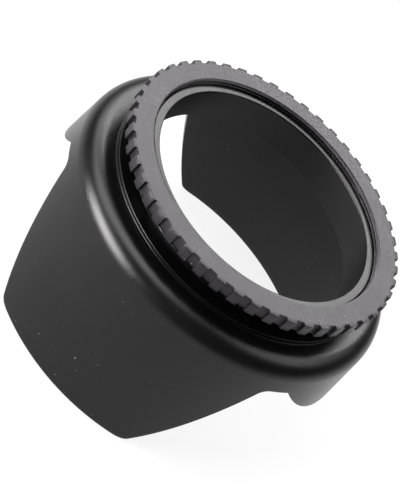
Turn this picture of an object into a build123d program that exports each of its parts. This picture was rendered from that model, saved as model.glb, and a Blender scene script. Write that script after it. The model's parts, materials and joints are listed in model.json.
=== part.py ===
"""Screw-in petal lens hood with a knurled locking ring.

Frame: millimetres, +Z along the optical axis towards the lens, origin on the floor under the
middle of the hood. The hood stands on the tips of its two long petals, which lie on the Y axis;
the two short petals lie on the X axis.
"""

from math import radians, sqrt, tan
import os

from build123d import *

os.makedirs("parts", exist_ok=True)

# --- filter thread, M58 x 0.75 -------------------------------------------------------------
thread_radius = 29.0
thread_pitch = 0.75
thread_depth = 0.46
thread_clearance = 0.04       # radial and axial play between the neck and the ring
ridge_root_width = 0.60       # axial width of one ridge where it leaves the neck
ridge_crest_width = 0.10
neck_ridges = 8
ring_grooves = 3
ring_bore_gap = 0.10          # the ring's bore stands this far outside the neck's plain root

# --- overall heights, measured from the long petals' tips ------------------------------------
total_height = 43.5           # rear face of the locking ring
neck_top = 42.15
collar_top = 35.75
shelf_height = 34.8           # flat top of the shoulder around the collar
throat_height = 33.9          # lower end of the neck's bore
first_ridge = 41.8            # centre of the uppermost ridge on the neck

# --- hood body ---------------------------------------------------------------------------------
bore_radius = 26.5
collar_radius = 32.2
tip_radius = 41.4             # outside, at the tips of the long petals
wall_taper = 0.08             # radius lost for each millimetre of height
wall_thickness = 1.5
shoulder_fillet = 4.4
ceiling_fillet = 2.4
ceiling_drop = 1.3            # how far the inside of the shoulder falls towards the wall
lip_chamfer = 0.25
collar_chamfer = 0.15

# --- petals, as seen from the side, along the X axis -----------------------------------------------
valley_height = 27.25         # flat floor of the gap between a long and a short petal
valley_reach = 24.7           # from the middle of the hood to the floor's outer corner
long_edge_angle = 23.9        # degrees by which a long petal's edge leans from upright
short_tip_height = 18.5
short_tip_radius = 26.0       # the short petals end in one round arc
valley_fillet = 2.3
long_corner_fillet = 1.6
gap_overrun = 5.0             # how far the cutter runs past the petal tips

# --- locking ring --------------------------------------------------------------------------------
ring_thickness = 2.9
knurl_radius = 34.0
knurl_depth = 0.78
knurl_count = 49
knurl_phase = 2.46            # degrees from +X to the first groove
knurl_groove_width = 2.1
knurl_edge_fillet = 0.18
ring_lead_in = 0.48           # chamfer at the mouth of the ring's thread
ring_back_chamfer = 0.12

neck_radius = thread_radius - thread_depth - thread_clearance
ridge_radius = thread_radius - thread_clearance
ring_bore_radius = neck_radius + ring_bore_gap
ring_bottom = total_height - ring_thickness


def outer_radius(height):
    """Outside of the flared wall at a height above the petal tips."""
    return tip_radius - wall_taper * height


def ridge_half_width(radius):
    """Half the axial width of a neck ridge at a radius."""
    share = (radius - neck_radius) / (ridge_radius - neck_radius)
    return (ridge_root_width + share * (ridge_crest_width - ridge_root_width)) / 2


def neck_outline():
    """Points (radius, height) down the threaded outside of the neck."""
    points = []
    for turn in range(neck_ridges):
        middle = first_ridge - turn * thread_pitch
        root, crest = ridge_root_width / 2, ridge_crest_width / 2
        points.append((neck_radius, middle + root))
        points.append((ridge_radius, middle + crest))
        points.append((ridge_radius, middle - crest))
        points.append((neck_radius, middle - root))
    return points


def ring_bore_outline():
    """Points (radius, height) down the threaded inside of the locking ring."""
    groove_radius = ridge_radius + thread_clearance
    mouth = ridge_half_width(ring_bore_radius) + thread_clearance
    floor = ridge_half_width(ridge_radius) + thread_clearance
    points = [
        (ring_bore_radius + ring_lead_in, total_height),
        (ring_bore_radius, total_height - ring_lead_in),
    ]
    for turn in range(ring_grooves):
        middle = first_ridge + (1 - turn) * thread_pitch
        points.append((ring_bore_radius, middle + mouth))
        points.append((groove_radius, middle + floor))
        points.append((groove_radius, middle - floor))
        points.append((ring_bore_radius, middle - mouth))
    points.append((ring_bore_radius, ring_bottom + ring_back_chamfer))
    points.append((ring_bore_radius + ring_back_chamfer, ring_bottom))
    return points


# --- hood body: one moulding with neck, collar, shoulder and four petals ------------------------
with BuildPart() as hood_body:
    with BuildSketch(Plane.XZ) as hood_section:
        inner_tip = tip_radius - wall_thickness
        ceiling_edge = throat_height - ceiling_drop
        shoulder_corner = (outer_radius(shelf_height), shelf_height)
        ceiling_corner = (outer_radius(ceiling_edge) - wall_thickness, ceiling_edge)
        with BuildLine():
            Polyline(
                (bore_radius, throat_height),
                (bore_radius, neck_top - lip_chamfer),
                (bore_radius + lip_chamfer, neck_top),
                (neck_radius - lip_chamfer, neck_top),
                *neck_outline(),
                (neck_radius, collar_top),
                (collar_radius - collar_chamfer, collar_top),
                (collar_radius, collar_top - collar_chamfer),
                (collar_radius, shelf_height),
                shoulder_corner,
                (tip_radius, 0),
                (inner_tip, 0),
                ceiling_corner,
                close=True,
            )
        make_face()
        fillet(hood_section.vertices().sort_by_distance(shoulder_corner)[0], shoulder_fillet)
        fillet(hood_section.vertices().sort_by_distance(ceiling_corner)[0], ceiling_fillet)
    revolve(axis=Axis.Z)
    with BuildSketch(Plane.YZ) as petal_gap:
        long_foot = valley_reach + valley_height * tan(radians(long_edge_angle))
        arc_drop = valley_height - short_tip_height
        arc_reach = sqrt(short_tip_radius**2 - (short_tip_radius - arc_drop) ** 2)
        gap_end = long_foot + gap_overrun
        valley_corners = [(-valley_reach, valley_height), (valley_reach, valley_height)]
        foot_corners = [(-long_foot, 0), (long_foot, 0)]
        with BuildLine():
            ThreePointArc(
                (-arc_reach, valley_height),
                (0, short_tip_height),
                (arc_reach, valley_height),
            )
            Polyline(
                (arc_reach, valley_height),
                valley_corners[1],
                foot_corners[1],
                (gap_end, 0),
                (gap_end, -gap_overrun),
                (-gap_end, -gap_overrun),
                (-gap_end, 0),
                foot_corners[0],
                valley_corners[0],
                (-arc_reach, valley_height),
            )
        make_face()
        for corner in valley_corners:
            fillet(petal_gap.vertices().sort_by_distance(corner)[0], valley_fillet)
        for corner in foot_corners:
            fillet(petal_gap.vertices().sort_by_distance(corner)[0], long_corner_fillet)
    extrude(amount=tip_radius, both=True, mode=Mode.SUBTRACT)
hood_body.part.label = "hood_body"

# --- locking ring: knurled nut that runs on the neck's thread -----------------------------------
with BuildPart() as locking_ring:
    with BuildSketch(Plane.XY.offset(ring_bottom)) as ring_outline:
        Circle(knurl_radius)
        with PolarLocations(knurl_radius, knurl_count, start_angle=knurl_phase):
            Rectangle(2 * knurl_depth, knurl_groove_width, mode=Mode.SUBTRACT)
        fillet(ring_outline.vertices(), knurl_edge_fillet)
    extrude(amount=ring_thickness)
    with BuildSketch(Plane.XZ) as ring_bore:
        with BuildLine():
            Polyline((0, total_height), *ring_bore_outline(), (0, ring_bottom), close=True)
        make_face()
    revolve(axis=Axis.Z, mode=Mode.SUBTRACT)
locking_ring.part.label = "locking_ring"

for part in (hood_body, locking_ring):
    export_step(part.part, f"parts/{part.part.label}.step")
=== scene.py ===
"""Looks for the screw-in petal lens hood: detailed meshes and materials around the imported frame.

Everything is in metres, +Z along the optical axis towards the lens. The hood stands on its two
long petals (on the Y axis), with the knurled locking ring on top.
"""

import json
import math

import bpy
from mathutils import Matrix, Vector


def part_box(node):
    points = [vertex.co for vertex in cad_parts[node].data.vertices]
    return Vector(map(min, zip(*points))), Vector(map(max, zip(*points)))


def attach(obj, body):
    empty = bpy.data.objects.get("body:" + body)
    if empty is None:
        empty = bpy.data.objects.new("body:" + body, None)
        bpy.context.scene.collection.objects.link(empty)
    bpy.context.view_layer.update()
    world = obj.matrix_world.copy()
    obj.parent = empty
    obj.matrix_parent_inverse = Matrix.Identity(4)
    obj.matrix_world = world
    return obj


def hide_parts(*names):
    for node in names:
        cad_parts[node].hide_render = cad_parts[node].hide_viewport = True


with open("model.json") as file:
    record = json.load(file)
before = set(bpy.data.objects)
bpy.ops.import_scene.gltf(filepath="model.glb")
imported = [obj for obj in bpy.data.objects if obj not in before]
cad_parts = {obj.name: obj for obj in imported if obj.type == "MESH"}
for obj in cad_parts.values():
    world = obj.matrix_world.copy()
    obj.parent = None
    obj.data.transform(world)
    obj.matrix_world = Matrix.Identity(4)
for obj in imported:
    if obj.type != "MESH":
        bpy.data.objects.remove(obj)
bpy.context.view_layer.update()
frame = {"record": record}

MM = 0.001
TURN = 2 * math.pi

# --- sizes that follow the frame ---------------------------------------------------------------
_, hood_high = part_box("hood_body")
ring_low, ring_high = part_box("locking_ring")
total_height = ring_high.z
neck_top = hood_high.z
ring_bottom = ring_low.z
tip_radius = hood_high.y
knurl_radius = ring_high.x

mounts = {mount["name"]: mount for mount in frame["record"]["mounts"]}
bore_radius = mounts["light_bore"]["dims"]["r_mm"] * MM
thread_radius = mounts["neck_thread"]["dims"]["r_mm"] * MM

# --- thread, M58 x 0.75 ------------------------------------------------------------------------
thread_pitch = 0.75 * MM
thread_depth = 0.46 * MM
thread_play = 0.04 * MM
thread_phase = 0.55 * MM      # from the neck's top down to the ridge's middle, on the +X side
ridge_crest = 0.07            # half widths of the ridge, in pitches
ridge_root = 0.40
neck_radius = thread_radius - thread_depth - thread_play
ridge_radius = thread_radius - thread_play
ring_bore_gap = 0.1 * MM
ring_bore_radius = neck_radius + ring_bore_gap
groove_radius = thread_radius
ring_mouth_step = 0.48 * MM
ring_mouth_radius = ring_bore_radius + ring_mouth_step
ring_mouth_depth = 0.14 * MM
plain_end = 0.1 * MM          # stretch without a ridge at either end of the neck
lip_run_out = 0.5 * MM        # height over which the neck's ridge fades in under the lip
collar_run_out = 0.4 * MM     # height over which it fades out above the collar
ring_run_out = 0.3 * MM       # height over which the ring's groove fades out at the lower mouth

# --- hood section ------------------------------------------------------------------------------
collar_radius = 32.2 * MM
collar_top = 35.75 * MM
shelf_height = 34.8 * MM
throat_height = 33.9 * MM
wall_taper = 0.08
wall_thickness = 1.5 * MM
shoulder_fillet = 4.4 * MM
ceiling_fillet = 2.4 * MM
ceiling_drop = 1.3 * MM
edge_round = 0.22 * MM
collar_round = 0.17 * MM
lip_round = 0.3 * MM
lip_margin = 0.1 * MM         # from the lip's rounding to the next row down the bore
throat_round = 0.15 * MM
throat_land = 1.0 * MM        # from the bore's radius out to the ceiling's nearest row
throat_fall = 0.1 * MM        # how far that row lies below the throat
neck_foot = 0.2 * MM          # from the neck's plain root to the first row on the collar
wall_margin = 0.3 * MM        # from the rounding above down to the flared wall's nearest row

# --- petals, as seen from the side, along the X axis ---------------------------------------------
valley_height = 27.25 * MM
valley_reach = 24.7 * MM
long_edge_slope = math.tan(math.radians(23.9))
short_tip_height = 18.5 * MM
short_tip_radius = 26.0 * MM
valley_fillet = 2.3 * MM
long_corner_fillet = 1.6 * MM

# --- knurl -------------------------------------------------------------------------------------
knurl_count = 49
knurl_phase = math.radians(2.46)
knurl_depth = 0.78 * MM
knurl_groove_width = 2.1 * MM
knurl_edge_fillet = 0.18 * MM
ring_face_round = 0.07 * MM
corner_share = 0.3            # where the middle point of a small rounded corner lies
groove_floor_share = 0.45     # inner point on a groove's floor, as a share of half the groove
rib_share = 0.6               # inner point on a rib's back, as a share of half the rib
rim_margin = 0.35 * MM        # from the knurl's floor in to the flat face's outer row
mouth_margin = 0.08 * MM      # from the upper mouth to the flat face's inner row
lower_face_margin = 0.3 * MM  # the two rows of the lower face beside the lower mouth
lower_mouth_margin = 0.15 * MM

# --- mesh density ------------------------------------------------------------------------------
hood_columns = 720
neck_rows_per_pitch = 8
ring_rows_per_pitch = 16
outer_wall_rows = 26
inner_wall_rows = 18
edge_steps = 3
lip_steps = 4
collar_steps = 6
shoulder_steps = 12
ceiling_steps = 8
edge_passes = 8               # repeats that settle the edge's height on the leaning wall


# === small geometry helpers ======================================================================
def arc(centre, radius, start, end, steps):
    """Points on an arc in the (radius, height) plane, angles in degrees."""
    points = []
    for step in range(steps + 1):
        angle = math.radians(start + (end - start) * step / steps)
        points.append((centre[0] + radius * math.cos(angle), centre[1] + radius * math.sin(angle)))
    return points


def fillet_arc(before, corner, after, radius, steps):
    """The arc that rounds a corner of a polyline in the (radius, height) plane."""
    corner = Vector(corner)
    into = (Vector(before) - corner).normalized()
    away = (Vector(after) - corner).normalized()
    half = into.angle(away) / 2
    centre = corner + (into + away).normalized() * radius / math.sin(half)
    first = corner + into * radius / math.tan(half) - centre
    last = corner + away * radius / math.tan(half) - centre
    points = []
    for step in range(steps + 1):
        direction = first.lerp(last, step / steps).normalized()
        points.append(tuple(centre + direction * radius))
    return points


def smooth_step(value):
    """Rises softly from 0 to 1 as the value does."""
    value = min(1.0, max(0.0, value))
    return value * value * (3 - 2 * value)


def mesh_object(name, vertices, faces, sharp_angle=32.0):
    """A mesh from vertices and faces, smooth except across sharp folds."""
    mesh = bpy.data.meshes.new(name)
    mesh.from_pydata(vertices, [], faces)
    mesh.validate()
    for polygon in mesh.polygons:
        polygon.use_smooth = True
    mesh.set_sharp_from_angle(angle=math.radians(sharp_angle))
    mesh.update()
    piece = bpy.data.objects.new(name, mesh)
    bpy.context.scene.collection.objects.link(piece)
    return piece


def closed_grid(name, rows):
    """Joins rows of points, each once round the axis, into a closed tube of quads, row by row."""
    columns = len(rows[0])
    vertices = [point for row in rows for point in row]
    faces = []
    for row in range(len(rows)):
        below = (row + 1) % len(rows)
        for column in range(columns):
            beside = (column + 1) % columns
            faces.append((
                row * columns + column,
                row * columns + beside,
                below * columns + beside,
                below * columns + column,
            ))
    return mesh_object(name, vertices, faces)


def circle_row(angles, radius, height):
    """One row of points; radius and height are numbers or functions of the angle."""
    row = []
    for angle in angles:
        r = radius(angle) if callable(radius) else radius
        z = height(angle) if callable(height) else height
        row.append((r * math.cos(angle), r * math.sin(angle), z))
    return row


def ridge_shape(turns):
    """Height of a trapezoid thread ridge, 0 to 1, along a distance counted in pitches."""
    offset = abs(turns - round(turns))
    return min(1.0, max(0.0, (ridge_root - offset) / (ridge_root - ridge_crest)))


def helix_turns(angle, height):
    """How many pitches a point lies from the middle of the right-handed ridge."""
    return (height - (neck_top - thread_phase)) / thread_pitch - angle / TURN


# === petal outline ===============================================================================
def petal_line(reach):
    """Height of the petals' edge seen from the side, at a distance from the middle of the hood."""
    drop = valley_height - short_tip_height
    arc_reach = math.sqrt(short_tip_radius ** 2 - (short_tip_radius - drop) ** 2)
    if reach < arc_reach:
        sag = short_tip_radius - math.sqrt(short_tip_radius ** 2 - reach ** 2)
        return short_tip_height + sag
    lean = math.atan(1 / long_edge_slope)
    foot = valley_reach + valley_height * long_edge_slope
    valley_tangent = valley_fillet * math.tan(lean / 2)
    foot_tangent = long_corner_fillet * math.tan(lean / 2)
    if reach < valley_reach - valley_tangent:
        return valley_height
    if reach < valley_reach + valley_tangent * math.cos(lean):
        past = reach - (valley_reach - valley_tangent)
        return valley_height - valley_fillet + math.sqrt(valley_fillet ** 2 - past ** 2)
    if reach < foot - foot_tangent * math.cos(lean):
        return valley_height - (reach - valley_reach) / long_edge_slope
    if reach < foot + foot_tangent:
        left = foot + foot_tangent - reach
        return long_corner_fillet - math.sqrt(long_corner_fillet ** 2 - left ** 2)
    return 0.0


def edge_height(angle):
    """Height of the petals' edge at an angle round the axis, level through the wall."""
    height = short_tip_height
    for _ in range(edge_passes):
        height = petal_line((tip_radius - wall_taper * height) * abs(math.sin(angle)))
    return height


# === hood body ===================================================================================
def wall_radius(height, inset=0.0):
    """Radius of the flared wall at a height, on its outside or an inset within it."""
    return tip_radius - inset - wall_taper * height


def neck_rows(angles):
    """The threaded neck from its lip down to the collar."""
    rows = []
    length = neck_top - lip_round - collar_top
    count = round(length / thread_pitch * neck_rows_per_pitch)
    for step in range(count + 1):
        height = neck_top - lip_round - length * step / count
        fade = smooth_step((neck_top - height - plain_end) / lip_run_out)
        fade *= smooth_step((height - collar_top - plain_end) / collar_run_out)

        def radius(angle, height=height, fade=fade):
            shape = ridge_shape(helix_turns(angle, height))
            return neck_radius + (ridge_radius - neck_radius) * shape * fade

        rows.append(circle_row(angles, radius, height))
    return rows


def wall_rows(angles, top, inset, count, downward):
    """Rows on one face of the flared wall, between a fixed height and the petals' edge."""
    rows = []
    steps = range(count + 1) if downward else range(count, -1, -1)
    for step in steps:
        share = step / count

        def height(angle, share=share):
            edge = edge_height(angle) + edge_round
            return top + (edge - top) * share

        def radius(angle, height=height):
            return wall_radius(height(angle), inset)

        rows.append(circle_row(angles, radius, height))
    return rows


def edge_rows(angles):
    """The rounded edge of the petals, from the outside of the wall to the inside."""
    rows = []
    for step in range(1, edge_steps):
        bend = math.pi / 2 * step / edge_steps
        rows.append(circle_row(
            angles,
            lambda a, b=bend: wall_radius(edge_height(a)) - edge_round * (1 - math.cos(b)),
            lambda a, b=bend: edge_height(a) + edge_round * (1 - math.sin(b)),
        ))
    rows.append(circle_row(
        angles,
        lambda a: wall_radius(edge_height(a)) - edge_round,
        edge_height,
    ))
    rows.append(circle_row(
        angles,
        lambda a: wall_radius(edge_height(a), wall_thickness) + edge_round,
        edge_height,
    ))
    for step in range(edge_steps - 1, 0, -1):
        bend = math.pi / 2 * step / edge_steps
        rows.append(circle_row(
            angles,
            lambda a, b=bend: wall_radius(edge_height(a), wall_thickness)
            + edge_round * (1 - math.cos(b)),
            lambda a, b=bend: edge_height(a) + edge_round * (1 - math.sin(b)),
        ))
    return rows


def build_hood():
    """The moulding as one closed skin: bore, lip, neck, collar, shoulder, petals and inside."""
    angles = [TURN * column / hood_columns for column in range(hood_columns)]
    ceiling_height = throat_height - ceiling_drop
    shoulder = (wall_radius(shelf_height), shelf_height)
    ceiling = (wall_radius(ceiling_height, wall_thickness), ceiling_height)
    shoulder_arc = fillet_arc(
        (collar_radius, shelf_height), shoulder, (tip_radius, 0), shoulder_fillet,
        shoulder_steps)
    ceiling_arc = fillet_arc(
        (tip_radius - wall_thickness, 0), ceiling, (bore_radius, throat_height),
        ceiling_fillet, ceiling_steps)

    section = [
        (bore_radius, throat_height + throat_round),
        (bore_radius, (throat_height + neck_top) / 2),
        (bore_radius, neck_top - lip_round - lip_margin),
    ]
    bore_rows = len(section) - 1
    section += arc((bore_radius + lip_round, neck_top - lip_round), lip_round, 180, 90, lip_steps)
    section += arc((neck_radius - lip_round, neck_top - lip_round), lip_round, 90, 22, lip_steps)
    rows = [circle_row(angles, r, z) for r, z in section]
    rows += neck_rows(angles)
    collar = [(neck_radius + neck_foot, collar_top), (collar_radius - 2 * collar_round, collar_top)]
    collar += arc(
        (collar_radius - collar_round, collar_top - collar_round), collar_round, 90, 0,
        collar_steps)
    collar += [
        (collar_radius, collar_top - 1.5 * collar_round),
        (collar_radius, shelf_height + 1.5 * collar_round),
    ]
    collar += arc(
        (collar_radius + collar_round, shelf_height + collar_round), collar_round, 180, 270,
        collar_steps)
    collar.append((collar_radius + 2 * collar_round, shelf_height))
    rows += [circle_row(angles, r, z) for r, z in collar + shoulder_arc]
    outer_top = shoulder_arc[-1][1] - wall_margin
    inner_top = ceiling_arc[0][1] - wall_margin
    rows += wall_rows(angles, outer_top, 0.0, outer_wall_rows, downward=True)
    rows += edge_rows(angles)
    inside_row = len(rows)
    rows += wall_rows(angles, inner_top, wall_thickness, inner_wall_rows, downward=False)
    rows += [circle_row(angles, r, z) for r, z in ceiling_arc]
    rows += [
        circle_row(angles, bore_radius + throat_land, throat_height - throat_fall),
        circle_row(angles, bore_radius + throat_round, throat_height),
    ]
    piece = closed_grid("hood_shell", rows)
    # the bore and the inside of the shade have the matter finish, material 1
    for polygon in piece.data.polygons:
        row = polygon.index // hood_columns
        polygon.material_index = 1 if row < bore_rows or row >= inside_row else 0
    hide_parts("hood_body")
    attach(piece, "hood")
    return piece


# === locking ring ================================================================================
def knurl_outline():
    """(radius, angle) points round the knurl: rib, groove wall, groove floor and back."""
    half_groove = math.asin(knurl_groove_width / 2 / knurl_radius)
    corner = knurl_edge_fillet / knurl_radius
    floor_radius = knurl_radius - knurl_depth
    pitch = TURN / knurl_count
    outline = []
    for tooth in range(knurl_count):
        middle = knurl_phase + tooth * pitch
        for side in (-1, 1):
            profile = [
                (floor_radius, half_groove * groove_floor_share),
                (floor_radius, half_groove - corner),
                (floor_radius + knurl_edge_fillet * corner_share,
                 half_groove - corner * corner_share),
                (floor_radius + knurl_edge_fillet, half_groove),
                (knurl_radius - knurl_edge_fillet, half_groove),
                (knurl_radius - knurl_edge_fillet * corner_share,
                 half_groove + corner * corner_share),
                (knurl_radius, half_groove + corner),
                (knurl_radius, half_groove + (pitch / 2 - half_groove) * rib_share),
            ]
            ordered = profile if side > 0 else reversed(profile)
            outline += [(radius, middle + side * offset) for radius, offset in ordered]
    return outline


def build_ring():
    """The knurled ring as one closed skin, from its upper mouth round to its threaded bore."""
    outline = knurl_outline()
    angles = [angle for _, angle in outline]

    def knurl_row(inset, height):
        return [
            ((radius - inset) * math.cos(angle), (radius - inset) * math.sin(angle), height)
            for radius, angle in outline
        ]

    rim = knurl_radius - knurl_depth - rim_margin
    corner = ring_face_round * corner_share
    rows = [
        circle_row(angles, ring_mouth_radius, total_height),
        circle_row(angles, ring_mouth_radius + mouth_margin, total_height),
        circle_row(angles, rim, total_height),
        knurl_row(ring_face_round, total_height),
        knurl_row(corner, total_height - corner),
        knurl_row(0.0, total_height - ring_face_round),
        knurl_row(0.0, ring_bottom + ring_face_round),
        knurl_row(corner, ring_bottom + corner),
        knurl_row(ring_face_round, ring_bottom),
        circle_row(angles, rim, ring_bottom),
        circle_row(angles, ring_bore_radius + lower_face_margin, ring_bottom),
        circle_row(angles, ring_bore_radius + lower_mouth_margin, ring_bottom),
    ]
    length = total_height - ring_bottom
    count = round(length / thread_pitch * ring_rows_per_pitch)
    for step in range(1, count):
        height = ring_bottom + length * step / count
        in_mouth = total_height - height < ring_mouth_depth
        mouth = ring_mouth_radius if in_mouth else ring_bore_radius
        fade = smooth_step((height - ring_bottom) / ring_run_out)

        def radius(angle, height=height, mouth=mouth, fade=fade):
            shape = ridge_shape(helix_turns(angle, height))
            depth = (groove_radius - ring_bore_radius) * shape
            return max(ring_bore_radius + depth * fade, mouth)

        rows.append(circle_row(angles, radius, height))
    piece = closed_grid("ring_knurled", rows)
    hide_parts("locking_ring")
    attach(piece, "ring")
    return piece


# === materials ===================================================================================
dust_colour = (0.35, 0.34, 0.33)
dust_edge = 0.04              # how far above its level the dust noise gives full cover
dust_cover = 0.3
grain_strength = 0.4
sheen_strength = 0.08
sheen_depth = 0.25 * MM
paper_dark = (0.115, 0.115, 0.115)
paper_light = (0.13, 0.13, 0.13)
pool_reach = (0.12, 0.45)     # metres from the pool's middle over which its glow falls
pool_glow = (0.84, 0.36)


def new_material(name):
    """An empty material: its node tree, with a shader joined to the output."""
    material = bpy.data.materials.new(name)
    material.use_nodes = True
    tree = material.node_tree
    tree.nodes.clear()
    output = tree.nodes.new("ShaderNodeOutputMaterial")
    shader = tree.nodes.new("ShaderNodeBsdfPrincipled")
    tree.links.new(shader.outputs["BSDF"], output.inputs["Surface"])
    return material, tree, shader


def noise(tree, coords, scale, detail, roughness):
    node = tree.nodes.new("ShaderNodeTexNoise")
    node.inputs["Scale"].default_value = scale
    node.inputs["Detail"].default_value = detail
    node.inputs["Roughness"].default_value = roughness
    tree.links.new(coords, node.inputs["Vector"])
    return node.outputs["Fac"]


def remap(tree, value, low, high, to_low, to_high):
    node = tree.nodes.new("ShaderNodeMapRange")
    node.inputs["From Min"].default_value = low
    node.inputs["From Max"].default_value = high
    node.inputs["To Min"].default_value = to_low
    node.inputs["To Max"].default_value = to_high
    tree.links.new(value, node.inputs["Value"])
    return node.outputs["Result"]


def mix_colour(tree, factor, first, second):
    node = tree.nodes.new("ShaderNodeMix")
    node.data_type = "RGBA"
    for socket, value in (("A", first), ("B", second)):
        target = [s for s in node.inputs if s.name == socket and s.type == "RGBA"][0]
        if isinstance(value, tuple):
            target.default_value = (*value, 1.0)
        else:
            tree.links.new(value, target)
    tree.links.new(factor, node.inputs[0])
    return [s for s in node.outputs if s.type == "RGBA"][0]


def bump(tree, height, strength, distance, normal=None):
    node = tree.nodes.new("ShaderNodeBump")
    node.inputs["Strength"].default_value = strength
    node.inputs["Distance"].default_value = distance
    tree.links.new(height, node.inputs["Height"])
    if normal is not None:
        tree.links.new(normal, node.inputs["Normal"])
    return node.outputs["Normal"]


def black_plastic(name, dark, light, roughness, grain, ior, tint, dust_level):
    """Moulded black plastic: fine spark-eroded grain, uneven sheen and a few specks of dust."""
    material, tree, shader = new_material(name)
    coords = tree.nodes.new("ShaderNodeTexCoord").outputs["Object"]
    grain_scale, grain_depth = grain
    grit = noise(tree, coords, scale=grain_scale, detail=3.0, roughness=0.6)
    sheen = noise(tree, coords, scale=90.0, detail=4.0, roughness=0.55)
    patches = noise(tree, coords, scale=28.0, detail=2.0, roughness=0.5)
    dust = noise(tree, coords, scale=2100.0, detail=0.0, roughness=0.5)
    shade = remap(tree, patches, low=0.3, high=0.7, to_low=0.0, to_high=1.0)
    colour = mix_colour(tree, shade, dark, light)
    specks = remap(tree, dust, dust_level, dust_level + dust_edge, to_low=0.0, to_high=dust_cover)
    colour = mix_colour(tree, specks, colour, dust_colour)
    tree.links.new(colour, shader.inputs["Base Color"])
    rough = remap(tree, sheen, low=0.3, high=0.7, to_low=roughness[0], to_high=roughness[1])
    tree.links.new(rough, shader.inputs["Roughness"])
    shader.inputs["IOR"].default_value = ior
    shader.inputs["Specular Tint"].default_value = (*tint, 1.0)
    normal = bump(tree, grit, grain_strength, grain_depth)
    normal = bump(tree, sheen, sheen_strength, sheen_depth, normal)
    tree.links.new(normal, shader.inputs["Normal"])
    return material


def floor_material():
    """Plain pale studio paper. Its own glow stands in for a wide, soft pool of light."""
    material, tree, shader = new_material("studio_paper")
    coords = tree.nodes.new("ShaderNodeTexCoord").outputs["Object"]
    fibre = noise(tree, coords, scale=60.0, detail=3.0, roughness=0.5)
    colour = mix_colour(tree, fibre, paper_dark, paper_light)
    tree.links.new(colour, shader.inputs["Base Color"])
    reach = tree.nodes.new("ShaderNodeVectorMath")
    reach.operation = "DISTANCE"
    reach.inputs[1].default_value = pool_middle
    tree.links.new(coords, reach.inputs[0])
    pool = remap(tree, reach.outputs["Value"], *pool_reach, *pool_glow)
    tree.links.new(pool, shader.inputs["Emission Strength"])
    shader.inputs["Roughness"].default_value = 0.9
    shader.inputs["Specular IOR Level"].default_value = 0.0
    shader.inputs["Emission Color"].default_value = (1.0, 1.0, 1.0, 1.0)
    return material


# === studio ======================================================================================
camera_lens = 125.1           # mm on a 36 mm sensor
camera_azimuth = math.radians(5.5)      # round from the long petal's middle
camera_elevation = math.radians(37.52)
camera_roll = math.radians(-45.73)
camera_distance = 360.3 * MM
pool_middle = (-0.01, 0.055, 0.0)       # the floor seen by the camera lies round this point
aim_offset = (14.6 * MM, 12.48 * MM)    # the ring's middle, right of and above the view's middle
light_target = Vector((0.0, 0.0, 0.03))
floor_half_width = 6.0
world_strength = 0.12


def build_camera():
    """The camera, aimed past the ring's middle and rolled."""
    sin_a, cos_a = math.sin(camera_azimuth), math.cos(camera_azimuth)
    sin_e, cos_e = math.sin(camera_elevation), math.cos(camera_elevation)
    forward = Vector((-cos_e * sin_a, cos_e * cos_a, -sin_e))
    right = Vector((cos_a, sin_a, 0.0))
    up = right.cross(forward)
    sin_r, cos_r = math.sin(camera_roll), math.cos(camera_roll)
    image_x = cos_r * right - sin_r * up
    image_y = sin_r * right + cos_r * up
    target = Vector((0.0, 0.0, total_height))
    location = target - forward * camera_distance
    location -= image_x * aim_offset[0] + image_y * aim_offset[1]
    data = bpy.data.cameras.new("camera")
    data.lens = camera_lens
    data.sensor_width = 36.0
    data.clip_start = 0.01
    data.clip_end = 20.0
    camera = bpy.data.objects.new("camera", data)
    camera.matrix_world = Matrix((
        (image_x.x, image_y.x, -forward.x, location.x),
        (image_x.y, image_y.y, -forward.y, location.y),
        (image_x.z, image_y.z, -forward.z, location.z),
        (0.0, 0.0, 0.0, 1.0),
    ))
    bpy.context.scene.collection.objects.link(camera)
    bpy.context.scene.camera = camera


def area_light(name, azimuth, elevation, distance, size, power):
    """A softbox aimed at the hood: degrees as for the camera, metres and watts."""
    a, e = math.radians(azimuth), math.radians(elevation)
    back = Vector((math.sin(a) * math.cos(e), -math.cos(a) * math.cos(e), math.sin(e)))
    data = bpy.data.lights.new(name, "AREA")
    data.shape = "RECTANGLE"
    data.size, data.size_y = size
    data.energy = power
    light = bpy.data.objects.new(name, data)
    light.location = light_target + back * distance
    light.rotation_mode = "QUATERNION"
    light.rotation_quaternion = back.to_track_quat("Z", "Y")
    light.visible_camera = False
    bpy.context.scene.collection.objects.link(light)


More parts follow.
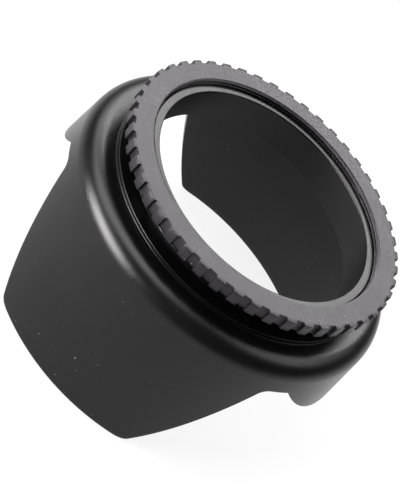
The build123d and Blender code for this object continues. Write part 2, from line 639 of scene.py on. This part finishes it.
def build_studio():
    """The floor, the softboxes and the dim white surroundings."""
    side = floor_half_width
    floor = mesh_object(
        "studio_floor",
        [(-side, -side, 0), (side, -side, 0), (side, side, 0), (-side, side, 0)],
        [(0, 1, 2, 3)],
    )
    floor.data.materials.append(floor_material())
    area_light("softbox_left", -43.0, 11.0, 0.40, (0.28, 0.20), 4.6)
    area_light("softbox_top", -88.0, 64.0, 1.0, (0.55, 1.0), 10.0)
    area_light("softbox_back", -168.0, 38.0, 1.0, (0.8, 0.42), 7.8)
    area_light("softbox_behind_left", -128.0, 33.0, 1.0, (0.5, 0.32), 2.4)
    area_light("softbox_right", 130.0, 51.0, 1.0, (0.65, 0.5), 2.8)
    world = bpy.data.worlds.new("studio")
    world.use_nodes = True
    world.node_tree.nodes["Background"].inputs["Color"].default_value = (1.0, 1.0, 1.0, 1.0)
    world.node_tree.nodes["Background"].inputs["Strength"].default_value = world_strength
    bpy.context.scene.world = world
    bpy.context.scene.view_settings.view_transform = "Standard"


# === the scene ===================================================================================
build_camera()
hood = build_hood()
hood.data.materials.append(black_plastic(
    "hood_plastic_outside",
    dark=(0.0014, 0.0014, 0.0015),
    light=(0.0022, 0.0021, 0.0022),
    roughness=(0.25, 0.32),
    grain=(5200.0, 0.07 * MM),
    ior=1.39,
    tint=(1.0, 0.98, 0.99),
    dust_level=0.86,
))
hood.data.materials.append(black_plastic(
    "hood_plastic_inside",
    dark=(0.0014, 0.0013, 0.0013),
    light=(0.0024, 0.0022, 0.0022),
    roughness=(0.40, 0.48),
    grain=(4600.0, 0.09 * MM),
    ior=1.33,
    tint=(1.0, 0.95, 0.96),
    dust_level=0.86,
))
ring = build_ring()
ring.data.materials.append(black_plastic(
    "ring_plastic_detail",
    dark=(0.0035, 0.0032, 0.0040),
    light=(0.0050, 0.0046, 0.0055),
    roughness=(0.25, 0.31),
    grain=(4200.0, 0.20 * MM),
    ior=1.47,
    tint=(0.99, 0.92, 1.0),
    dust_level=0.83,
))
build_studio()
